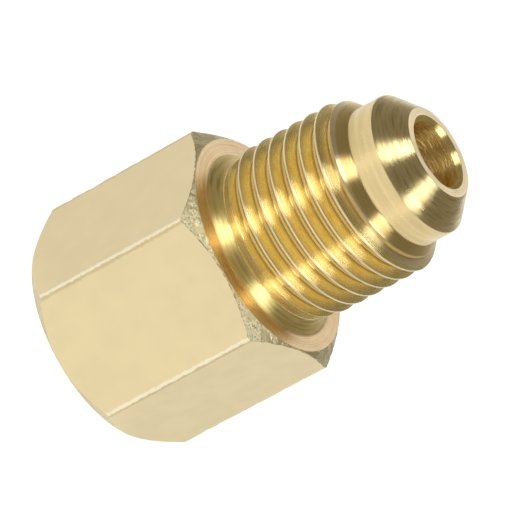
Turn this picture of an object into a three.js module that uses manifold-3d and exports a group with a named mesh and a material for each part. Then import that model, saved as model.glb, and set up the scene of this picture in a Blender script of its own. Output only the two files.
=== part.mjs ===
// Flare fitting: a 5/16 in SAE 45 degree male flare end on a 5/8 in hexagon body whose other end is
// a 5/16 in female flare socket, with the loose copper flare gasket that the socket keeps captive.
// Millimetres, +Z up. The fitting stands on the socket's mouth, its axis is Z and the nose is on top.

import * as THREE from 'three';
import { mergeVertices } from 'three/addons/utils/BufferGeometryUtils.js';
import Module from 'manifold-3d';

const wasm = await Module();
wasm.setup();

// ---------------------------------------------------------------------------------------------
// Driving dimensions
// ---------------------------------------------------------------------------------------------

// Hexagon
const ACROSS_FLATS = 15.875;
const CORNER_ROUND = 0.35;
const HEX_TOP = 14.08;
const SHOULDER_RADIUS = 7.9;
const SHOULDER_CHAMFER_DEG = 33;
const MOUTH_FACE_RADIUS = 7.85;
const MOUTH_CHAMFER_DEG = 45;

// Unified fine thread, 1/2-20 UNF, on the outside and in the socket
const PITCH = 1.27;
const THREAD_NOMINAL_RADIUS = 6.35;
const FLANK_DEG = 30;
const MALE_ROOT_DEPTH = 0.6134 * PITCH;

// Male end
const MALE_MAJOR_RADIUS = 6.3;
const FLARE_FOOT_RADIUS = 6.75;
const FLARE_FOOT_FILLET = 0.3;
const WAIST_RADIUS = 5.85;
const FULL_THREAD_START = 16.4;
const THREAD_TOP = 23.37;
const NECK_RADIUS = 5.07;
const NOSE_TOP = 28.24;
const NOSE_FACE_RADIUS = 3.32;
const BORE_RADIUS = 2.4;
const BORE_MOUTH_RADIUS = 2.73;

// Male thread: where a crest crosses the -X side, and where the cutter starts to bite
const MALE_CREST_AT_MINUS_X = 17.58;
const MALE_GROOVE_START = 14.9;
const RUN_OUT_TURNS = 0.6;

// Female socket
const MOUTH_BEVEL_RADIUS = 6.65;
const FEMALE_MINOR_RADIUS = 5.68;
const FEMALE_THREAD_TOP = 7.25;
const RELIEF_RADIUS = 6.45;
const RELIEF_TOP = 8.3;

// Captive gasket, at rest on the step below the relief groove
const GASKET_OUTER_RADIUS = 5.9;
const GASKET_HOLE_RADIUS = 3.05;
const GASKET_REST_GAP = 0.05;
const GASKET_AXIAL_THICKNESS = 0.85;

// Fineness of the facets
const SIDES = 40;
const CORNER_FACETS = 3;
const FILLET_FACETS = 3;

// ---------------------------------------------------------------------------------------------
// Worked out from the dimensions above
// ---------------------------------------------------------------------------------------------

const radians = THREE.MathUtils.degToRad;
const SHARP_CORNER_RADIUS = ACROSS_FLATS / Math.sqrt(3);
const OUTSIDE = SHARP_CORNER_RADIUS + 1;
const NECK_START = THREAD_TOP + MALE_MAJOR_RADIUS - NECK_RADIUS;
const CONE_START = NOSE_TOP - (NECK_RADIUS - NOSE_FACE_RADIUS);
const SEAT_TOP = RELIEF_TOP + RELIEF_RADIUS - BORE_RADIUS;
const OVERRUN = 0.08;

// ---------------------------------------------------------------------------------------------
// Solids
// ---------------------------------------------------------------------------------------------

/** Turns a closed three.js geometry into a solid, without the flat triangles at a lathe's poles. */
function toSolid(geometry) {
  const bare = geometry.clone();
  bare.deleteAttribute('normal');
  bare.deleteAttribute('uv');
  const merged = mergeVertices(bare, 1e-4);
  const corners = merged.index.array;
  const triVerts = [];
  for (let i = 0; i < corners.length; i += 3) {
    const [a, b, c] = corners.slice(i, i + 3);
    if (a !== b && b !== c && c !== a) triVerts.push(a, b, c);
  }
  return new wasm.Manifold(new wasm.Mesh({
    numProp: 3,
    vertProperties: new Float32Array(merged.attributes.position.array),
    triVerts: new Uint32Array(triVerts),
  }));
}

/** Makes a named mesh from a solid. */
function toMesh(name, solid, material) {
  const { vertProperties, triVerts } = solid.getMesh();
  const geometry = new THREE.BufferGeometry();
  geometry.setAttribute('position', new THREE.BufferAttribute(vertProperties, 3));
  geometry.setIndex(new THREE.BufferAttribute(triVerts, 1));
  geometry.computeVertexNormals();
  const mesh = new THREE.Mesh(geometry, material);
  mesh.name = name;
  return mesh;
}

/** Revolves a profile of [radius, height] points, listed from low to high, about Z. */
function turned(profile) {
  const points = profile.map(([radius, height]) => new THREE.Vector2(radius, height));
  return toSolid(new THREE.LatheGeometry(points, SIDES).rotateX(Math.PI / 2));
}

/** A right-hand helix about Z, whose radius may change along it. Its section stays radial. */
class HelixCurve extends THREE.Curve {
  constructor(startAngle, startHeight, turns, radiusAtTurn) {
    super();
    Object.assign(this, { startAngle, startHeight, turns, radiusAtTurn });
  }

  getPoint(t, target = new THREE.Vector3()) {
    const turn = t * this.turns;
    const angle = this.startAngle + turn * 2 * Math.PI;
    const radius = this.radiusAtTurn(turn);
    return target.set(
      radius * Math.cos(angle),
      radius * Math.sin(angle),
      this.startHeight + turn * PITCH,
    );
  }

  getPointAt(u, target) {
    return this.getPoint(u, target);
  }

  computeFrenetFrames(segments) {
    const frames = { tangents: [], normals: [], binormals: [] };
    for (let i = 0; i <= segments; i += 1) {
      const angle = this.startAngle + (i / segments) * this.turns * 2 * Math.PI;
      frames.tangents.push(new THREE.Vector3(-Math.sin(angle), Math.cos(angle), 0));
      frames.normals.push(new THREE.Vector3(Math.cos(angle), Math.sin(angle), 0));
      frames.binormals.push(new THREE.Vector3(0, 0, -1));
    }
    return frames;
  }
}

/** The solid that a threading tool sweeps: a V section, given as [radial, axial] points. */
function threadCutter(section, helix) {
  const outline = new THREE.Shape(section.map(([radial, axial]) => new THREE.Vector2(radial, axial)));
  return toSolid(new THREE.ExtrudeGeometry(outline, {
    steps: Math.round(helix.turns * SIDES),
    bevelEnabled: false,
    extrudePath: helix,
  }));
}

/** The V section between two radii, measured from the first one. */
function vSection(wideRadius, wideWidth, narrowRadius) {
  const slope = Math.tan(radians(FLANK_DEG));
  const away = Math.sign(wideRadius - narrowRadius);
  const narrowWidth = wideWidth - 2 * Math.abs(wideRadius - narrowRadius) * slope;
  const overrunWidth = wideWidth + 2 * OVERRUN * slope;
  return [
    [away * OVERRUN, -overrunWidth / 2],
    [away * OVERRUN, overrunWidth / 2],
    [narrowRadius - wideRadius, narrowWidth / 2],
    [narrowRadius - wideRadius, -narrowWidth / 2],
  ];
}

// ---------------------------------------------------------------------------------------------
// Fitting body
// ---------------------------------------------------------------------------------------------

/** Hexagon bar with slightly blunt corners, two of them on +X and -X. */
function hexagonBar() {
  const outline = new THREE.Shape();
  const centreRadius = SHARP_CORNER_RADIUS - CORNER_ROUND / Math.cos(radians(30));
  for (let corner = 0; corner < 6; corner += 1) {
    const angle = corner * radians(60);
    outline.absarc(
      centreRadius * Math.cos(angle),
      centreRadius * Math.sin(angle),
      CORNER_ROUND,
      angle - radians(30),
      angle + radians(30),
      false,
    );
  }
  return toSolid(new THREE.ExtrudeGeometry(outline, {
    depth: HEX_TOP,
    bevelEnabled: false,
    curveSegments: CORNER_FACETS,
  }));
}

/** What the lathe leaves of the bar: both ends chamfered down to a round face. */
function chamferEnvelope() {
  const mouthRise = (OUTSIDE - MOUTH_FACE_RADIUS) * Math.tan(radians(MOUTH_CHAMFER_DEG));
  const shoulderDrop = (OUTSIDE - SHOULDER_RADIUS) * Math.tan(radians(SHOULDER_CHAMFER_DEG));
  return turned([
    [0, 0],
    [MOUTH_FACE_RADIUS, 0],
    [OUTSIDE, mouthRise],
    [OUTSIDE, HEX_TOP - shoulderDrop],
    [SHOULDER_RADIUS, HEX_TOP],
    [0, HEX_TOP],
  ]);
}

/** The 45 degree flare below the thread, filleted into the shoulder, as [radius, height] points. */
function flarePoints() {
  const points = [];
  for (let i = 0; i <= FILLET_FACETS; i += 1) {
    const angle = (i / FILLET_FACETS) * (Math.PI / 4);
    points.push([
      FLARE_FOOT_RADIUS - FLARE_FOOT_FILLET * Math.sin(angle),
      HEX_TOP + FLARE_FOOT_FILLET * (1 - Math.cos(angle)),
    ]);
  }
  const [radius, height] = points[FILLET_FACETS];
  points.push([WAIST_RADIUS, height + radius - WAIST_RADIUS]);
  return points;
}

/** Flare, thread blank, neck and 45 degree nose. */
function maleBlank() {
  return turned([
    [0, HEX_TOP - 1],
    [FLARE_FOOT_RADIUS, HEX_TOP - 1],
    ...flarePoints(),
    [MALE_MAJOR_RADIUS, FULL_THREAD_START],
    [MALE_MAJOR_RADIUS, THREAD_TOP],
    [NECK_RADIUS, NECK_START],
    [NECK_RADIUS, CONE_START],
    [NOSE_FACE_RADIUS, NOSE_TOP],
    [0, NOSE_TOP],
  ]);
}

/** Groove between the male thread's crests. It runs out of the metal towards the hexagon. */
function maleGroove() {
  const grooveAtMinusX = MALE_CREST_AT_MINUS_X - PITCH / 2;
  const startAngle = Math.PI + ((MALE_GROOVE_START - grooveAtMinusX) / PITCH) * 2 * Math.PI;
  const turns = Math.ceil((NECK_START + PITCH - MALE_GROOVE_START) / PITCH);
  const lift = (turn) => Math.max(0, 1 - turn / RUN_OUT_TURNS) * MALE_ROOT_DEPTH;
  return threadCutter(
    vSection(THREAD_NOMINAL_RADIUS, PITCH * (7 / 8), THREAD_NOMINAL_RADIUS - MALE_ROOT_DEPTH),
    new HelixCurve(startAngle, MALE_GROOVE_START, turns, (turn) => THREAD_NOMINAL_RADIUS + lift(turn)),
  );
}

/** Everything that is drilled and bored out, from the mouth to the nose. */
function boredOut() {
  const bevelTop = MOUTH_BEVEL_RADIUS - FEMALE_MINOR_RADIUS;
  return turned([
    [0, -1],
    [MOUTH_BEVEL_RADIUS + 1, -1],
    [FEMALE_MINOR_RADIUS, bevelTop],
    [FEMALE_MINOR_RADIUS, FEMALE_THREAD_TOP],
    [RELIEF_RADIUS, FEMALE_THREAD_TOP],
    [RELIEF_RADIUS, RELIEF_TOP],
    [BORE_RADIUS, SEAT_TOP],
    [BORE_RADIUS, NOSE_TOP - (BORE_MOUTH_RADIUS - BORE_RADIUS)],
    [BORE_MOUTH_RADIUS + 1, NOSE_TOP + 1],
    [0, NOSE_TOP + 1],
  ]);
}

/** Groove between the socket thread's crests. It ends in the relief groove. */
function femaleGroove() {
  const turns = Math.floor((FEMALE_THREAD_TOP + 2 * PITCH) / PITCH);
  const startHeight = FEMALE_THREAD_TOP + PITCH / 4 - turns * PITCH;
  return threadCutter(
    vSection(FEMALE_MINOR_RADIUS, PITCH * (3 / 4), THREAD_NOMINAL_RADIUS),
    new HelixCurve(0, startHeight, turns, () => FEMALE_MINOR_RADIUS),
  );
}

function fittingBody(material) {
  const solid = hexagonBar()
    .intersect(chamferEnvelope())
    .add(maleBlank())
    .subtract(maleGroove())
    .subtract(boredOut())
    .subtract(femaleGroove());
  return toMesh('fitting_body', solid, material);
}

// ---------------------------------------------------------------------------------------------
// Captive flare gasket
// ---------------------------------------------------------------------------------------------

/** A conical copper washer, parallel to the socket's 45 degree seat. */
function flareGasket(material) {
  const rimBottom = FEMALE_THREAD_TOP + GASKET_REST_GAP;
  const holeBottom = rimBottom + GASKET_OUTER_RADIUS - GASKET_HOLE_RADIUS;
  const solid = turned([
    [GASKET_HOLE_RADIUS, holeBottom],
    [GASKET_OUTER_RADIUS, rimBottom],
    [GASKET_OUTER_RADIUS, rimBottom + GASKET_AXIAL_THICKNESS],
    [GASKET_HOLE_RADIUS, holeBottom + GASKET_AXIAL_THICKNESS],
    [GASKET_HOLE_RADIUS, holeBottom],
  ]);
  return toMesh('flare_gasket', solid, material);
}

// ---------------------------------------------------------------------------------------------
// The fitting
// ---------------------------------------------------------------------------------------------

const brass = new THREE.MeshStandardMaterial({ color: 0xd9bb74, roughness: 0.35, metalness: 1 });
const copper = new THREE.MeshStandardMaterial({ color: 0xb87352, roughness: 0.4, metalness: 1 });

const fitting = new THREE.Group();
fitting.add(fittingBody(brass));
fitting.add(flareGasket(copper));

export default fitting;
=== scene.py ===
"""Flare fitting on a light table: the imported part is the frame, and both of its pieces get a fine
turned surface here, with helical threads, rounded edges and brass and copper made of nodes."""

import math

import bmesh
import bpy
import numpy as np
from mathutils import Matrix, Vector


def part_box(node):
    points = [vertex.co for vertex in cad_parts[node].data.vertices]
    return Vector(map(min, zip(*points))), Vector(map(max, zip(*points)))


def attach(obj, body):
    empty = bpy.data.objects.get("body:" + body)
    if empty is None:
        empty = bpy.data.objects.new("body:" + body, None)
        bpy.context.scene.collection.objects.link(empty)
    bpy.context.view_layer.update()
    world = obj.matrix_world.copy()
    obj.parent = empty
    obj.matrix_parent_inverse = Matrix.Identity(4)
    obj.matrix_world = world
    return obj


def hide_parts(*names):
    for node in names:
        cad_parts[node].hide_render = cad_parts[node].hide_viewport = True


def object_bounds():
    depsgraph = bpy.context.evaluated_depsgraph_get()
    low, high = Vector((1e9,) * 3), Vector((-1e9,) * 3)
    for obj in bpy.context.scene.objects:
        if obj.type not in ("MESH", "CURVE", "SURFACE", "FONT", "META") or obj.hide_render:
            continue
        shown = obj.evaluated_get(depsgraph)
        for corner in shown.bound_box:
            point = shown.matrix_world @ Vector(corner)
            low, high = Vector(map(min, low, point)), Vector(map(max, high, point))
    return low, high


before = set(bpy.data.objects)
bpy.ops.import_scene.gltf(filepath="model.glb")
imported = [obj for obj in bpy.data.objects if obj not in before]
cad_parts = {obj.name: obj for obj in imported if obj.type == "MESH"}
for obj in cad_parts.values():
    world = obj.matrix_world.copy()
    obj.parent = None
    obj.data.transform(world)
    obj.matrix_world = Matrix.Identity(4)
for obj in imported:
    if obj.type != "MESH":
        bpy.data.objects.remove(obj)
CAD_LOW, CAD_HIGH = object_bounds()

# ---------------------------------------------------------------------------------------------
# Dimensions, in metres. The overall ones come from the frame, the others repeat the CAD's. Only the
# small roundings and the male thread's crest and run-out are finer here than there.
# ---------------------------------------------------------------------------------------------

MM = 0.001
HALF_FLATS = (CAD_HIGH.y - CAD_LOW.y) / 2
NOSE_TOP = CAD_HIGH.z
SHARP_CORNER = HALF_FLATS / math.cos(math.radians(30))
CORNER_ROUND = 0.35 * MM

HEX_TOP = 14.08 * MM
SHOULDER_RADIUS = 7.9 * MM
SHOULDER_CHAMFER = math.tan(math.radians(33))
MOUTH_FACE_RADIUS = 7.85 * MM
MOUTH_BEVEL_RADIUS = 6.65 * MM
MOUTH_MIDDLE_RADIUS = (MOUTH_FACE_RADIUS + MOUTH_BEVEL_RADIUS) / 2

PITCH = 1.27 * MM
THREAD_NOMINAL_RADIUS = 6.35 * MM
FLANK = math.tan(math.radians(30))

FLARE_FOOT_RADIUS = 6.75 * MM
FLARE_FOOT_FILLET = 0.3 * MM
FLARE_BLEND = 0.25 * MM
WAIST_RADIUS = 5.85 * MM
WAIST_HEIGHT = HEX_TOP + FLARE_FOOT_RADIUS - WAIST_RADIUS - (math.sqrt(2) - 1) * FLARE_FOOT_FILLET
MALE_MAJOR_RADIUS = 6.3 * MM
MALE_ROOT_RADIUS = THREAD_NOMINAL_RADIUS - 0.6134 * PITCH
MALE_CREST_WIDTH = 0.15 * MM
MALE_CREST_AT_MINUS_X = 17.58 * MM
MALE_GROOVE_START = 15.15 * MM
RUN_OUT = 0.5 * PITCH
FULL_THREAD_START = 16.4 * MM
THREAD_TOP = 23.37 * MM
NECK_RADIUS = 5.07 * MM
NECK_START = THREAD_TOP + MALE_MAJOR_RADIUS - NECK_RADIUS
NOSE_FACE_RADIUS = 3.32 * MM
CONE_START = NOSE_TOP - (NECK_RADIUS - NOSE_FACE_RADIUS)
BORE_RADIUS = 2.4 * MM
BORE_MOUTH_RADIUS = 2.73 * MM

FEMALE_MINOR_RADIUS = 5.68 * MM
FEMALE_CREST_WIDTH = PITCH / 4
FEMALE_THREAD_TOP = 7.25 * MM
FEMALE_THREAD_BOTTOM = 0.15 * MM
RELIEF_RADIUS = 6.45 * MM
RELIEF_TOP = 8.3 * MM
SEAT_TOP = RELIEF_TOP + RELIEF_RADIUS - BORE_RADIUS

GASKET_HOLE_RADIUS = 3.05 * MM

# How far from a corner its rounding starts
CRISP = 0.03 * MM
SOFT = 0.07 * MM
WORN = 0.16 * MM

# Marks of the facing tool on the flat rings, and where they stop short of the rings' edges
RING_STEP = 0.14 * MM
RING_DEPTH = 0.0035 * MM
SHOULDER_RING_START = SHOULDER_RADIUS - 0.12 * MM
NOSE_RING_START = NOSE_FACE_RADIUS - 0.08 * MM
NOSE_RING_END = BORE_MOUTH_RADIUS + 0.06 * MM

# Wear and handling
EDGE_RAGGEDNESS = 0.02 * MM
DENT_DEPTH = 0.035 * MM

# Fineness
ROUNDING_STEPS = 2
ROWS_PER_RING = 6
ROWS_ON_FLATS = 30
CORNER_COLUMNS = 4
FLAT_COLUMNS = 28
WELD = 0.0002 * MM

# How far the floor lies under the mouth face, so that the two don't share a plane
FLOOR_GAP = 0.01 * MM

# Finishes of the body, by material index: BODY_FINISHES below has their materials in this order
DRAWN, CHAMFERED, FACED, TURNED, THREADED, BORED = range(6)


# ---------------------------------------------------------------------------------------------
# Outlines: rows of points that run round the axis. A row is a radius and a height for each column.
# ---------------------------------------------------------------------------------------------


def hexagon_columns():
    """Angles round the axis, closer together at the blunt corners, and the hexagon's radius there."""
    centre = SHARP_CORNER - CORNER_ROUND / math.cos(math.radians(30))
    turn = np.radians(np.linspace(0, 30, CORNER_COLUMNS + 1))
    x = centre + CORNER_ROUND * np.cos(turn)
    y = CORNER_ROUND * np.sin(turn)
    arc_angle, arc_radius = np.arctan2(y, x), np.hypot(x, y)
    margin = 1.5 * arc_angle[-1]
    flat_angle = np.linspace(margin, math.radians(60) - margin, FLAT_COLUMNS)
    flat_radius = HALF_FLATS / np.cos(flat_angle - math.radians(30))
    angle = np.concatenate([arc_angle, flat_angle, math.radians(60) - arc_angle[:0:-1]])
    radius = np.concatenate([arc_radius, flat_radius, arc_radius[:0:-1]])
    angles = np.concatenate([angle + k * math.radians(60) for k in range(6)] + [[2 * math.pi]])
    return angles, np.concatenate([np.tile(radius, 6), radius[:1]])


def even_columns(count):
    """Angles of evenly spaced columns, with the first one repeated at the end."""
    return np.linspace(0, 2 * math.pi, count + 1)


def ragged(angles, seed, waves):
    """A smooth random number for each column, about -1 to 1, that closes round the axis.

    waves is the range of how many waves go round it. 24 of them add up to about 5 times one."""
    random = np.random.default_rng(seed)
    total = np.zeros(len(angles))
    for wave in random.integers(waves[0], waves[1], 24):
        total += np.sin(wave * angles + random.uniform(0, 2 * math.pi))
    return total / 5


def rounded(corners, columns):
    """Rows through corners (radius, height, cut, finish), each rounded over the length cut.

    A finish belongs to the surface after its corner and starts halfway round it. Two corners share
    the length between them, and a supporting row on each side of a rounding keeps the surface
    beyond it flat."""
    points = [np.array([r + np.zeros(columns), z + np.zeros(columns)]) for r, z, _, _ in corners]
    rows = [(*points[0], corners[0][3])]
    for i in range(1, len(corners) - 1):
        corner, cut = points[i], corners[i][2]
        ways = []
        for j in (i - 1, i + 1):
            way = points[j] - corner
            length = np.maximum(np.hypot(*way), 1e-12)
            room = length if j in (0, len(corners) - 1) else length / 2
            start = np.minimum(cut, 0.8 * room)
            support = np.minimum(1.8 * start, 0.95 * room)
            ways.append((corner + way / length * support, corner + way / length * start))
        (support_in, start), (support_out, end) = ways
        before, after = corners[i - 1][3], corners[i][3]
        rows.append((*support_in, before))
        for t in np.linspace(0, 1, ROUNDING_STEPS + 1):
            rows.append((*((1 - t) ** 2 * start + 2 * t * (1 - t) * corner + t ** 2 * end),
                         before if t < 0.5 else after))
        rows.append((*support_out, after))
    rows.append((*points[-1], corners[-1][3]))
    return rows


def tool_rings(first_radius, last_radius, height, columns):
    """Rows across a faced ring, with the fine concentric marks that the facing tool leaves."""
    width = abs(last_radius - first_radius)
    count = round(width / RING_STEP)
    rows = []
    for t in np.linspace(0, 1, count * ROWS_PER_RING + 1):
        fade = min(1, 8 * t, 8 * (1 - t))
        dip = RING_DEPTH * fade * (1 - math.cos(2 * math.pi * count * t))
        radius = first_radius + (last_radius - first_radius) * t
        rows.append((np.full(columns, radius), np.full(columns, height - dip), FACED))
    return rows


def thread(angles, blank, bottom, groove_width, groove_height, low, high, finish):
    """Rows of a right-hand thread between two heights, as its groove cuts it into a blank.

    blank gives the radius before threading, by height. bottom gives the radius of the groove's
    bottom, by the height of its middle and the blank's radius. groove_height is where the groove
    crosses the first column. Where the blank slopes, an edge is found in a few steps."""
    climb = PITCH * angles / (2 * math.pi)
    first = math.floor((low - groove_height) / PITCH) - 2
    last = math.ceil((high - groove_height) / PITCH) + 1
    corners = []
    for turn in range(first, last + 1):
        middle = groove_height + turn * PITCH + climb
        feet = [middle - groove_width / 2, middle + groove_width / 2]
        floors = [bottom(middle, blank(foot)) for foot in feet]
        edges = []
        for foot, floor, side in zip(feet, floors, (-1, 1)):
            edge = foot
            for _ in range(4):
                edge = foot + side * np.abs(blank(edge) - floor) * FLANK
            edges.append(edge)
        corners += [
            (blank(edges[0]), edges[0], CRISP, finish),
            (floors[0], feet[0], SOFT, finish),
            (floors[1], feet[1], SOFT, finish),
            (blank(edges[1]), edges[1], CRISP, finish),
        ]
    rows = rounded(corners, len(angles))
    radius = np.array([row[0] for row in rows])
    height = np.array([row[1] for row in rows])
    for end, beyond in ((low, height < low), (high, height > high)):
        at_end = [np.interp(end, height[:, j], radius[:, j]) for j in range(len(angles))]
        radius = np.where(beyond, at_end, radius)
    height = np.clip(height, low, high)
    return [(r, z, finish) for r, z in zip(radius, height)]


def male_blank(height):
    """Radius of the male end before its thread is cut: a taper, a cylinder and a chamfer."""
    slope = (MALE_MAJOR_RADIUS - WAIST_RADIUS) / (FULL_THREAD_START - WAIST_HEIGHT)
    taper = WAIST_RADIUS + slope * (height - WAIST_HEIGHT)
    chamfer = NECK_RADIUS + NECK_START - height
    return np.minimum(np.minimum(taper, MALE_MAJOR_RADIUS), chamfer)


def male_thread(angles, low, high):
    """The external thread, cut into the blank between the waist and the neck.

    Its groove crosses +X at the height where its crest crosses -X, half a turn away. It starts
    with a run-out, where the cut gets deeper."""

    def bottom(middle, surface):
        run_in = np.clip((middle - MALE_GROOVE_START) / RUN_OUT, 0, 1)
        return np.minimum(surface, surface + (MALE_ROOT_RADIUS - surface) * run_in)

    flanks = 2 * (MALE_MAJOR_RADIUS - MALE_ROOT_RADIUS) * FLANK
    width = PITCH - MALE_CREST_WIDTH - flanks
    return thread(angles, male_blank, bottom, width, MALE_CREST_AT_MINUS_X, low, high, THREADED)


def female_thread(angles, low, high):
    """The socket's thread, between its bevel and the relief groove."""

    def blank(height):
        return np.maximum(FEMALE_MINOR_RADIUS, MOUTH_BEVEL_RADIUS - height)

    def bottom(middle, surface):
        return np.maximum(surface, THREAD_NOMINAL_RADIUS)

    flanks = 2 * (THREAD_NOMINAL_RADIUS - FEMALE_MINOR_RADIUS) * FLANK
    width = PITCH - FEMALE_CREST_WIDTH - flanks
    return thread(angles, blank, bottom, width, FEMALE_THREAD_TOP + PITCH / 4, low, high, BORED)


# ---------------------------------------------------------------------------------------------
# Pieces
# ---------------------------------------------------------------------------------------------


def wall(name, angles, rows):
    """A closed mesh from rows of (radius, height, finish), the last row joined to the first."""
    radius = np.array([row[0] for row in rows])
    height = np.array([row[1] for row in rows])
    finish = np.array([row[2] for row in rows])
    count, columns = radius.shape
    co = np.stack([radius * np.cos(angles), radius * np.sin(angles), height], axis=-1).reshape(-1, 3)
    number = np.arange(count * columns).reshape(count, columns)
    above = np.roll(number, -1, axis=0)
    quads = np.stack([number[:, :-1], number[:, 1:], above[:, 1:], above[:, :-1]], axis=-1)
    mesh = bpy.data.meshes.new(name)
    mesh.from_pydata(co, [], quads.reshape(-1, 4))
    mesh.polygons.foreach_set("material_index", np.repeat(finish, columns - 1).astype(np.int32))
    weld(mesh)
    mesh.polygons.foreach_set("use_smooth", np.ones(len(mesh.polygons), bool))
    piece = bpy.data.objects.new(name, mesh)
    bpy.context.scene.collection.objects.link(piece)
    return piece


def weld(mesh):
    """Joins the points that lie on each other and drops the faces that this leaves with no area."""
    bm = bmesh.new()
    bm.from_mesh(mesh)
    bmesh.ops.remove_doubles(bm, verts=bm.verts, dist=WELD)
    bmesh.ops.dissolve_degenerate(bm, edges=bm.edges, dist=WELD)
    bm.to_mesh(mesh)
    bm.free()


def outside(angles, hexagon):
    """From the middle of the mouth face over the hexagon to the waist below the thread."""
    columns = len(angles)
    mouth_chamfer_top = hexagon - MOUTH_FACE_RADIUS
    edge_wear = EDGE_RAGGEDNESS * ragged(angles, 4, (30, 110))
    shoulder = SHOULDER_RADIUS + 0.5 * edge_wear
    chamfer_bottom = HEX_TOP - (hexagon - SHOULDER_RADIUS) * SHOULDER_CHAMFER + edge_wear
    flare_corner = WAIST_RADIUS + WAIST_HEIGHT - HEX_TOP
    shoulder_ring_end = flare_corner + 1.1 * FLARE_BLEND
    thread_start = WAIST_HEIGHT + 2 * CRISP
    flats_start = mouth_chamfer_top + 4 * SOFT
    flats_end = chamfer_bottom - 4 * SOFT
    rows = rounded([
        (MOUTH_MIDDLE_RADIUS, 0, 0, FACED),
        (MOUTH_FACE_RADIUS, 0, SOFT, CHAMFERED),
        (hexagon, mouth_chamfer_top, SOFT, DRAWN),
        (hexagon, flats_start, 0, DRAWN),
    ], columns)
    rows += flats(angles, hexagon, flats_start, flats_end)
    rows += rounded([
        (hexagon, flats_end, 0, DRAWN),
        (hexagon, chamfer_bottom, CRISP, CHAMFERED),
        (shoulder, HEX_TOP, CRISP, FACED),
        (SHOULDER_RING_START, HEX_TOP, 0, FACED),
    ], columns)
    rows += tool_rings(SHOULDER_RING_START, shoulder_ring_end, HEX_TOP, columns)
    rows += rounded([
        (shoulder_ring_end, HEX_TOP, 0, FACED),
        (flare_corner, HEX_TOP, FLARE_BLEND, TURNED),
        (WAIST_RADIUS, WAIST_HEIGHT, FLARE_BLEND, THREADED),
        (male_blank(thread_start), thread_start, 0, THREADED),
    ], columns)
    return rows, thread_start


def flats(angles, hexagon, low, high):
    """Rows up the hexagon, whose corners carry small dents from handling."""
    corner_zone = 0.015 * hexagon.max()
    corner = np.clip(1 - (hexagon.max() - hexagon) / corner_zone, 0, 1)
    rows = []
    for i, t in enumerate(np.linspace(0, 1, ROWS_ON_FLATS)[1:-1]):
        dent = np.clip(ragged(angles, 100 + i, (3, 17)), 0, 1.5)
        rows.append((hexagon - DENT_DEPTH * corner * dent, low + (high - low) * t, DRAWN))
    return rows


def nose(columns, thread_end):
    """From the thread's end over the neck, cone and nose ring to the mouth of the bore."""
    rows = rounded([
        (male_blank(thread_end), thread_end, 0, THREADED),
        (NECK_RADIUS, NECK_START, CRISP, TURNED),
        (NECK_RADIUS, CONE_START, SOFT, TURNED),
        (NOSE_FACE_RADIUS, NOSE_TOP, CRISP, FACED),
        (NOSE_RING_START, NOSE_TOP, 0, FACED),
    ], columns)
    rows += tool_rings(NOSE_RING_START, NOSE_RING_END, NOSE_TOP, columns)
    return rows


def bore(columns):
    """From the nose ring through the bore and the socket's seat to the top of its thread."""
    return rounded([
        (NOSE_RING_END, NOSE_TOP, 0, FACED),
        (BORE_MOUTH_RADIUS, NOSE_TOP, CRISP, TURNED),
        (BORE_RADIUS, NOSE_TOP - BORE_MOUTH_RADIUS + BORE_RADIUS, CRISP, BORED),
        (BORE_RADIUS, SEAT_TOP, SOFT, BORED),
        (RELIEF_RADIUS, RELIEF_TOP, SOFT, BORED),
        (RELIEF_RADIUS, FEMALE_THREAD_TOP, SOFT, BORED),
        (RELIEF_RADIUS - SOFT, FEMALE_THREAD_TOP, 0, BORED),
    ], columns)


def fitting_body():
    """The one-piece brass body: hexagon, shoulder, thread, neck, nose, bore and socket."""
    angles, hexagon = hexagon_columns()
    columns = len(angles)
    rows, thread_start = outside(angles, hexagon)
    thread_end = NECK_START - 2 * CRISP
    rows += male_thread(angles, thread_start, thread_end)
    rows += nose(columns, thread_end)
    rows += bore(columns)
    rows += female_thread(angles, FEMALE_THREAD_BOTTOM, FEMALE_THREAD_TOP)[::-1]
    rows += rounded([
        (MOUTH_BEVEL_RADIUS - FEMALE_THREAD_BOTTOM, FEMALE_THREAD_BOTTOM, 0, BORED),
        (MOUTH_BEVEL_RADIUS, 0, SOFT, FACED),
        (MOUTH_MIDDLE_RADIUS, 0, 0, FACED),
    ], columns)
    piece = wall("brass_body", angles, rows)
    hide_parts("fitting_body")
    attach(piece, "fitting")
    return piece


def flare_gasket():
    """The conical copper washer, the size of its CAD solid, with rounded edges."""
    low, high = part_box("flare_gasket")
    outer = high.x
    rise = outer - GASKET_HOLE_RADIUS
    thickness = high.z - low.z - rise
    middle = ((outer + GASKET_HOLE_RADIUS) / 2, low.z + rise / 2, 0, 0)
    angles = even_columns(180)
    rows = rounded([
        middle,
        (outer, low.z, SOFT, 0),
        (outer, low.z + thickness, WORN, 0),
        (GASKET_HOLE_RADIUS, high.z, SOFT, 0),
        (GASKET_HOLE_RADIUS, high.z - thickness, SOFT, 0),
        middle,
    ], len(angles))
    piece = wall("copper_gasket", angles, rows)
    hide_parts("flare_gasket")
    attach(piece, "gasket")
    return piece


# ---------------------------------------------------------------------------------------------
# Materials. Inside them, lengths are in millimetres.
# ---------------------------------------------------------------------------------------------

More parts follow.
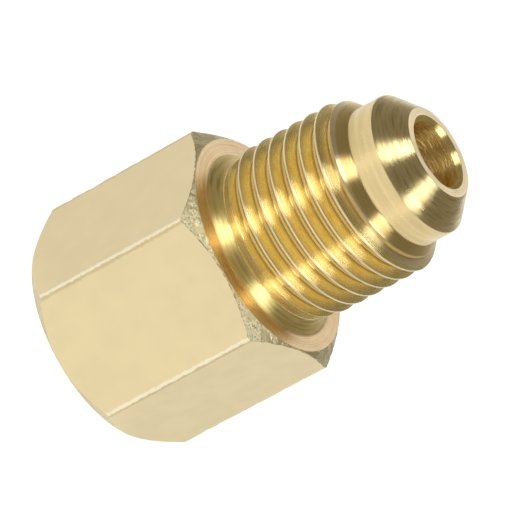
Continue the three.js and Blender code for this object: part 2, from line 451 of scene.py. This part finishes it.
BRASS = (0.68, 0.565, 0.33)
CLOUDED_BRASS = (0.665, 0.555, 0.33)
WORN_HIGHLIGHT_BRASS = (0.82, 0.75, 0.56)
CHAMFER_BRASS = (0.74, 0.64, 0.38)
TORN_GLINT_BRASS = (0.93, 0.85, 0.58)
NOSE_BRASS = (0.81, 0.64, 0.39)
PALE_NOSE_BRASS = (0.83, 0.68, 0.44)
SHOULDER_BRASS = (0.76, 0.56, 0.33)
MOTTLED_SHOULDER_BRASS = (0.72, 0.51, 0.27)
MARKED_BRASS = (0.66, 0.49, 0.22)
TURNED_BRASS = (0.71, 0.56, 0.28)
GOLDEN_REFLECTION_BRASS = (0.90, 0.70, 0.28)
SCORED_BRASS = (0.44, 0.33, 0.13)
CREST_BRASS = (0.82, 0.68, 0.40)
FLANK_BRASS = (0.91, 0.73, 0.31)
STAINED_FLANK_BRASS = (0.83, 0.59, 0.22)
ROOT_SHADE_BRASS = (0.62, 0.43, 0.14)
BORE_BRASS = (0.92, 0.71, 0.30)
DEEP_BORE_BRASS = (0.70, 0.46, 0.14)
TARNISH_AND_SHADE = (0.30, 0.23, 0.13)
COPPER = (0.80, 0.40, 0.26)
DULL_COPPER = (0.62, 0.29, 0.18)


class Surface:
    """A material under construction, metal to begin with, and short ways to add nodes to it.

    An input is given as a number, a tuple or the output of an earlier node."""

    def __init__(self, name):
        self.material = bpy.data.materials.new(name)
        self.material.use_nodes = True
        self.tree = self.material.node_tree
        self.shader = self.tree.nodes["Principled BSDF"]
        self.shader.inputs["Metallic"].default_value = 1
        millimetres = self.node("ShaderNodeVectorMath", operation="SCALE")
        self.join(self.node("ShaderNodeTexCoord").outputs["Object"], millimetres.inputs[0])
        millimetres.inputs["Scale"].default_value = 1 / MM
        self.place = millimetres.outputs[0]
        self.x, self.y, self.height = self.split(self.place)
        level = self.combined(self.x, self.y, 0)
        self.radius = self.vector("LENGTH", level)
        self.outward = self.vector("NORMALIZE", level)
        self.around = self.vector("CROSS_PRODUCT", (0, 0, 1), self.outward)

    def node(self, kind, **settings):
        node = self.tree.nodes.new(kind)
        for setting, value in settings.items():
            setattr(node, setting, value)
        return node

    def join(self, source, target):
        """Links an output to an input, or sets the input to a plain value."""
        if isinstance(source, bpy.types.NodeSocket):
            self.tree.links.new(source, target)
        else:
            target.default_value = source

    def maths(self, operation, *sources):
        node = self.node("ShaderNodeMath", operation=operation)
        for source, target in zip(sources, node.inputs):
            self.join(source, target)
        return node.outputs[0]

    def both(self, first, second):
        """The product of two masks."""
        return self.maths("MULTIPLY", first, second)

    def vector(self, operation, *sources):
        node = self.node("ShaderNodeVectorMath", operation=operation)
        for source, target in zip(sources, node.inputs):
            self.join(source, target)
        return node.outputs["Value" if operation == "LENGTH" else "Vector"]

    def split(self, source):
        node = self.node("ShaderNodeSeparateXYZ")
        self.join(source, node.inputs[0])
        return node.outputs

    def combined(self, *sources):
        node = self.node("ShaderNodeCombineXYZ")
        for source, target in zip(sources, node.inputs):
            self.join(source, target)
        return node.outputs[0]

    def ramp(self, source, start, end, low=0.0, high=1.0):
        """A smooth step of source from start to end, as a number from low to high."""
        node = self.node("ShaderNodeMapRange", interpolation_type="SMOOTHSTEP")
        for value, target in zip((source, start, end, low, high), node.inputs):
            self.join(value, target)
        return node.outputs[0]

    def blend(self, factor, first, second):
        """A colour between two."""
        node = self.node("ShaderNodeMix", data_type="RGBA")
        self.join(factor, node.inputs["Factor"])
        for colour, target in ((first, node.inputs[6]), (second, node.inputs[7])):
            self.join(colour if isinstance(colour, bpy.types.NodeSocket) else (*colour, 1), target)
        return node.outputs[2]

    def speckle(self, per_mm, detail=3, roughness=0.5):
        """Even noise over the surface, 0 to 1."""
        node = self.node("ShaderNodeTexNoise", noise_dimensions="3D")
        self.join(self.place, node.inputs["Vector"])
        node.inputs["Scale"].default_value = per_mm
        node.inputs["Detail"].default_value = detail
        node.inputs["Roughness"].default_value = roughness
        return node.outputs[0]

    def streaks(self, per_mm, per_turn, detail=2):
        """Noise drawn out round the axis, as a lathe tool leaves it, 0 to 1."""
        node = self.node("ShaderNodeTexNoise", noise_dimensions="4D")
        cosine, sine, _ = self.split(self.outward)
        vector = self.combined(
            self.maths("MULTIPLY", self.radius, per_mm),
            self.maths("MULTIPLY", self.height, per_mm),
            self.maths("MULTIPLY", cosine, per_turn),
        )
        self.join(vector, node.inputs["Vector"])
        self.join(self.maths("MULTIPLY", sine, per_turn), node.inputs["W"])
        node.inputs["Scale"].default_value = 1
        node.inputs["Detail"].default_value = detail
        return node.outputs[0]

    def relief(self, height, depth, below=None):
        """Bumps of the given depth in millimetres, on top of those below."""
        node = self.node("ShaderNodeBump")
        node.inputs["Distance"].default_value = depth * MM
        self.join(height, node.inputs["Height"])
        if below is not None:
            self.join(below, node.inputs["Normal"])
        return node.outputs[0]

    def azimuth(self):
        """Angle round the axis from a corner of the hexagon, in radians, kept above 0."""
        angle = self.maths("ARCTAN2", self.y, self.x)
        return self.maths("ADD", angle, 2 * math.pi)

    def above_edge(self, height, radius, slope):
        """Height over the sloping chamfer that passes through a height and radius."""
        rise = self.maths("MULTIPLY", self.maths("SUBTRACT", self.radius, radius), slope)
        return self.maths("SUBTRACT", self.height, self.maths("ADD", rise, height))

    def lathe_grain(self, amount):
        """Makes gloss spread across the marks that run round the axis."""
        self.shader.inputs["Anisotropic"].default_value = amount
        self.shader.inputs["Anisotropic Rotation"].default_value = 0.25
        self.join(self.around, self.shader.inputs["Tangent"])

    def finish(self, colour, roughness, normal):
        """Wires up the shader and gives the finished material."""
        for source, name in ((colour, "Base Color"), (roughness, "Roughness"), (normal, "Normal")):
            self.join(source, self.shader.inputs[name])
        return self.material


def drawn_brass():
    """The hexagon's flats: satin bar stock, faintly mottled, with wear and nicks along its edges; each
    corner gets a painted highlight and a band of painted shade beside it.
    """
    metal = Surface("drawn_brass")
    cloud = metal.speckle(0.7, 3)
    fine = metal.speckle(9.0, 3, 0.6)
    nicks = metal.speckle(3.5, 2, 0.6)

    # Distance past the nearest corner, as a share of the way to the next one
    past_corner = metal.maths("FRACT", metal.maths("DIVIDE", metal.azimuth(), math.radians(60)))
    jitter = metal.ramp(nicks, 0.2, 0.8, -0.006, 0.006)
    across = metal.maths("ADD", metal.maths("WRAP", past_corner, 0.5, -0.5), jitter)
    # A band along each corner: real wear, which smooths and bumps it, and a painted highlight, which
    # lightens its colour
    worn_highlight = metal.both(metal.ramp(across, -0.026, -0.014), metal.ramp(across, 0.010, 0.002))
    # A band of painted shade just past each corner
    shaded = metal.both(metal.ramp(across, 0.004, 0.016), metal.ramp(across, 0.038, 0.020))

    # A dark burr just under the edge that the shoulder's chamfer cuts
    edge = metal.above_edge(HEX_TOP / MM, SHOULDER_RADIUS / MM, -SHOULDER_CHAMFER)
    wander = metal.ramp(nicks, 0.25, 0.75, -0.05, 0.05)
    at_edge = metal.ramp(metal.maths("ADD", edge, wander), -0.09, -0.03)
    burr = metal.both(at_edge, metal.ramp(nicks, 0.35, 0.6, 0.35, 1.0))
    # Dark colour for the burr and, at 0.35 strength, for the painted shade band
    dark = metal.maths("MAXIMUM", burr, metal.maths("MULTIPLY", shaded, 0.35))

    colour = metal.blend(metal.ramp(cloud, 0.3, 0.7), BRASS, CLOUDED_BRASS)
    # Painted highlight: the corner band is lightened towards a pale brass
    colour = metal.blend(metal.maths("MULTIPLY", worn_highlight, 0.6), colour, WORN_HIGHLIGHT_BRASS)
    colour = metal.blend(dark, colour, TARNISH_AND_SHADE)
    roughness = metal.ramp(cloud, 0.2, 0.8, 0.36, 0.42)
    roughness = metal.maths("SUBTRACT", roughness, metal.maths("MULTIPLY", worn_highlight, 0.1))
    normal = metal.relief(cloud, 0.003)
    normal = metal.relief(fine, 0.0006, normal)
    normal = metal.relief(metal.both(worn_highlight, nicks), 0.03, normal)
    return metal.finish(colour, roughness, normal)


def chamfered_brass():
    """The chamfers at both ends of the hexagon, rough where the interrupted cut next to its flats tore
    them, with a painted glint on the rough spots and painted shade towards the mouth.
    """
    metal = Surface("chamfered_brass")
    tear = metal.speckle(8.0, 4, 0.65)
    marks = metal.streaks(9.0, 3.0)
    patches = metal.ramp(metal.speckle(1.3, 2), 0.42, 0.58)
    rough_zone = metal.maths("MAXIMUM", patches, metal.ramp(metal.radius, 8.3, 8.9))
    # Painted glint: where the cut tore the chamfer, its colour is lightened; the tear's bumps and
    # roughness are real
    torn_glint = metal.both(rough_zone, metal.ramp(tear, 0.4, 0.55))
    pits = metal.both(rough_zone, metal.ramp(tear, 0.43, 0.35))
    # Painted shade: the mouth chamfer, below 5 mm, is darkened up to halfway to the dark colour
    mouth_shade = metal.ramp(metal.height, 5, 4, 0, 0.5)
    colour = metal.blend(torn_glint, CHAMFER_BRASS, TORN_GLINT_BRASS)
    colour = metal.blend(pits, colour, TARNISH_AND_SHADE)
    colour = metal.blend(mouth_shade, colour, TARNISH_AND_SHADE)
    roughness = metal.ramp(tear, 0.3, 0.7, 0.38, 0.5)
    normal = metal.relief(metal.both(tear, rough_zone), 0.035)
    normal = metal.relief(marks, 0.004, normal)
    metal.lathe_grain(0.3)
    return metal.finish(colour, roughness, normal)


def faced_brass():
    """The rings that are faced flat, with fine concentric lines: paler at the nose, darker and redder
    below.
    """
    metal = Surface("faced_brass")
    marks = metal.streaks(12.0, 1.5)
    cloud = metal.ramp(metal.speckle(0.9, 2), 0.35, 0.65)
    on_nose = metal.ramp(metal.height, 20, 21)
    nose_colour = metal.blend(cloud, NOSE_BRASS, PALE_NOSE_BRASS)
    shoulder_colour = metal.blend(cloud, SHOULDER_BRASS, MOTTLED_SHOULDER_BRASS)
    colour = metal.blend(on_nose, shoulder_colour, nose_colour)
    colour = metal.blend(metal.ramp(marks, 0.5, 0.8, 0, 0.5), colour, MARKED_BRASS)
    roughness = metal.ramp(marks, 0.3, 0.7, 0.24, 0.38)
    normal = metal.relief(marks, 0.004)
    metal.lathe_grain(0.7)
    return metal.finish(colour, roughness, normal)


def turned_brass():
    """Flare, neck, cone and bore bevel: bright turned metal whose gloss runs across the tool marks,
    with a painted golden reflection on the flare and the bore bevel.
    """
    metal = Surface("turned_brass")
    marks = metal.streaks(6.0, 2.5, 4)
    broad = metal.streaks(2.5, 1.2)
    fine = metal.streaks(34.0, 8.0)
    on_flare = metal.ramp(metal.height, 15.2, 14.8)
    on_neck = metal.both(metal.ramp(metal.height, 24.6, 24.7), metal.ramp(metal.height, 26.5, 26.4))
    # Painted reflection: the flare and the bore bevel get a deeper gold, standing in for light bounced
    # off the brass around them
    golden = metal.maths("MAXIMUM", on_flare, metal.ramp(metal.radius, 3.1, 2.9))
    scored = metal.ramp(on_neck, 0, 1, 0.75, 0.1)
    scores = metal.both(metal.ramp(marks, 0.45, 0.72), scored)
    colour = metal.blend(golden, TURNED_BRASS, GOLDEN_REFLECTION_BRASS)
    colour = metal.blend(scores, colour, SCORED_BRASS)
    roughness = metal.ramp(broad, 0.25, 0.75, 0.24, 0.36)
    roughness = metal.maths("ADD", roughness, metal.maths("MULTIPLY", on_flare, 0.08))
    normal = metal.relief(metal.both(marks, scored), 0.03)
    normal = metal.relief(fine, 0.003, normal)
    metal.lathe_grain(0.9)
    return metal.finish(colour, roughness, normal)


def threaded_brass():
    """The external thread: bright crests, golden flanks and roots darkened with painted shade."""
    metal = Surface("threaded_brass")
    marks = metal.streaks(14.0, 2.0)
    stain = metal.ramp(metal.speckle(1.3, 3), 0.4, 0.75, 0, 0.7)
    on_flank = metal.both(metal.ramp(metal.radius, 6.28, 6.22), metal.ramp(metal.height, 23.5, 23.3))
    # Painted shade: the thread's roots are darkened
    root_shade = metal.ramp(metal.radius, 5.72, 5.6, 0, 0.8)
    flank_colour = metal.blend(stain, FLANK_BRASS, STAINED_FLANK_BRASS)
    colour = metal.blend(on_flank, CREST_BRASS, flank_colour)
    colour = metal.blend(root_shade, colour, ROOT_SHADE_BRASS)
    roughness = metal.ramp(marks, 0.25, 0.75, 0.26, 0.36)
    roughness = metal.maths("SUBTRACT", roughness, metal.maths("MULTIPLY", on_flank, 0.05))
    normal = metal.relief(marks, 0.002)
    metal.lathe_grain(1.0)
    return metal.finish(colour, roughness, normal)


def bored_brass():
    """Bore and socket: coarse feed marks that catch the light from the mouth."""
    metal = Surface("bored_brass")
    marks = metal.streaks(6.0, 3.0, 3)
    fine = metal.streaks(12.0, 14.0, 2)
    colour = metal.blend(metal.ramp(marks, 0.4, 0.65), BORE_BRASS, DEEP_BORE_BRASS)
    roughness = metal.ramp(marks, 0.3, 0.7, 0.36, 0.48)
    normal = metal.relief(marks, 0.1)
    normal = metal.relief(fine, 0.05, normal)
    metal.lathe_grain(0.8)
    return metal.finish(colour, roughness, normal)


def annealed_copper():
    """The gasket: dull, soft copper with pressed and turned marks."""
    metal = Surface("annealed_copper")
    marks = metal.streaks(7.0, 2.0)
    cloud = metal.speckle(1.2, 4)
    colour = metal.blend(metal.ramp(cloud, 0.3, 0.7), COPPER, DULL_COPPER)
    roughness = metal.ramp(cloud, 0.3, 0.7, 0.34, 0.5)
    normal = metal.relief(marks, 0.004)
    metal.lathe_grain(0.5)
    return metal.finish(colour, roughness, normal)


# ---------------------------------------------------------------------------------------------
# Stage, light and camera
# ---------------------------------------------------------------------------------------------

DIM_GLOW = (0.86, 0.86, 0.86)
FULL_GLOW = (1, 1, 1)
LAMP_COLOUR = (0.93, 0.97, 1)
ROOM_COLOUR = (1, 0.92, 0.74)


def light_table():
    """A wide pale floor that glows, a little more in front, and shows hardly any shadow."""
    bpy.ops.mesh.primitive_plane_add(size=3)
    floor = bpy.context.object
    floor.name = "light_table"
    table = Surface("white_acrylic")
    shader = table.shader
    shader.inputs["Metallic"].default_value = 0
    shader.inputs["Base Color"].default_value = (0.1, 0.1, 0.1, 1)
    shader.inputs["Roughness"].default_value = 0.6
    shader.inputs["Specular IOR Level"].default_value = 0.0

    # 1 straight in front of the fitting, 0 to its sides and negative behind it
    distance = table.maths("ADD", table.radius, 1)
    forward = table.maths("DIVIDE", table.maths("MULTIPLY", table.y, -1), distance)
    glow = table.blend(table.ramp(forward, 0.3, 0.9), DIM_GLOW, FULL_GLOW)
    table.join(glow, shader.inputs["Emission Color"])
    shader.inputs["Emission Strength"].default_value = 1.2

    floor.data.materials.append(table.material)
    floor.location.z = -FLOOR_GAP


def softbox(name, centre, turn, size, brightness):
    """A rectangular lamp at centre, facing down, then turned about X, Y and Z, in degrees.

    brightness is its radiance, so a larger lamp gives more light."""
    lamp = bpy.data.lights.new(name, "AREA")
    lamp.shape = "RECTANGLE"
    lamp.size, lamp.size_y = size
    lamp.energy = brightness * math.pi * size[0] * size[1]
    lamp.color = LAMP_COLOUR
    holder = bpy.data.objects.new(name, lamp)
    holder.location = centre
    holder.rotation_euler = [math.radians(angle) for angle in turn]
    bpy.context.scene.collection.objects.link(holder)


def studio():
    """Two strips of light overhead, two upright ones in front, a panel behind and a dim room."""
    softbox("strip_left", (-0.218, -0.124, 0.4), (0, 0, -120), (0.18, 0.19), 5)
    softbox("strip_right", (0.285, -0.122, 0.4), (0, 0, 120), (0.18, 0.21), 5)
    distance, height = 0.5, 0.28
    for name, azimuth in (("upright_left", -42), ("upright_right", 48)):
        angle = math.radians(azimuth)
        place = (distance * math.sin(angle), -distance * math.cos(angle), height)
        softbox(name, place, (65, 0, azimuth), (0.13, 0.4), 3.3)
    softbox("back_panel", (0, 0.6, 0.3), (-64, 0, 0), (0.32, 0.55), 0.85)
    world = bpy.data.worlds.new("room")
    world.use_nodes = True
    background = world.node_tree.nodes["Background"]
    background.inputs["Color"].default_value = (*ROOM_COLOUR, 1)
    background.inputs["Strength"].default_value = 0.24
    bpy.context.scene.world = world


def camera():
    """A long lens that looks down at the fitting, rolled so that its nose points up to the right."""
    azimuth, elevation, roll = math.radians(-2.61), math.radians(26.0), math.radians(61.46)
    distance = 366 * MM
    aim_height, aim_right, aim_up = 11.57 * MM, 1.148 * MM, 0.322 * MM
    back = Vector((
        math.sin(azimuth) * math.cos(elevation),
        -math.cos(azimuth) * math.cos(elevation),
        math.sin(elevation),
    ))
    across = Vector((math.cos(azimuth), math.sin(azimuth), 0))
    up_the_axis = back.cross(across)
    right = up_the_axis * math.sin(roll) + across * math.cos(roll)
    up = up_the_axis * math.cos(roll) - across * math.sin(roll)
    aim = Vector((0, 0, aim_height)) + right * aim_right + up * aim_up
    data = bpy.data.cameras.new("long_lens")
    data.sensor_width = 36
    data.lens = 383.16
    data.clip_start, data.clip_end = 0.01, 10
    holder = bpy.data.objects.new("camera", data)
    place = aim + back * distance
    holder.matrix_world = Matrix((
        (right.x, up.x, back.x, place.x),
        (right.y, up.y, back.y, place.y),
        (right.z, up.z, back.z, place.z),
        (0, 0, 0, 1),
    ))
    bpy.context.scene.collection.objects.link(holder)
    bpy.context.scene.camera = holder


# ---------------------------------------------------------------------------------------------
# The scene
# ---------------------------------------------------------------------------------------------

BODY_FINISHES = (drawn_brass, chamfered_brass, faced_brass, turned_brass, threaded_brass, bored_brass)

camera()
light_table()
studio()

body = fitting_body()
for finish in BODY_FINISHES:
    body.data.materials.append(finish())
gasket = flare_gasket()
gasket.data.materials.append(annealed_copper())

bpy.context.scene.view_settings.view_transform = "Standard"
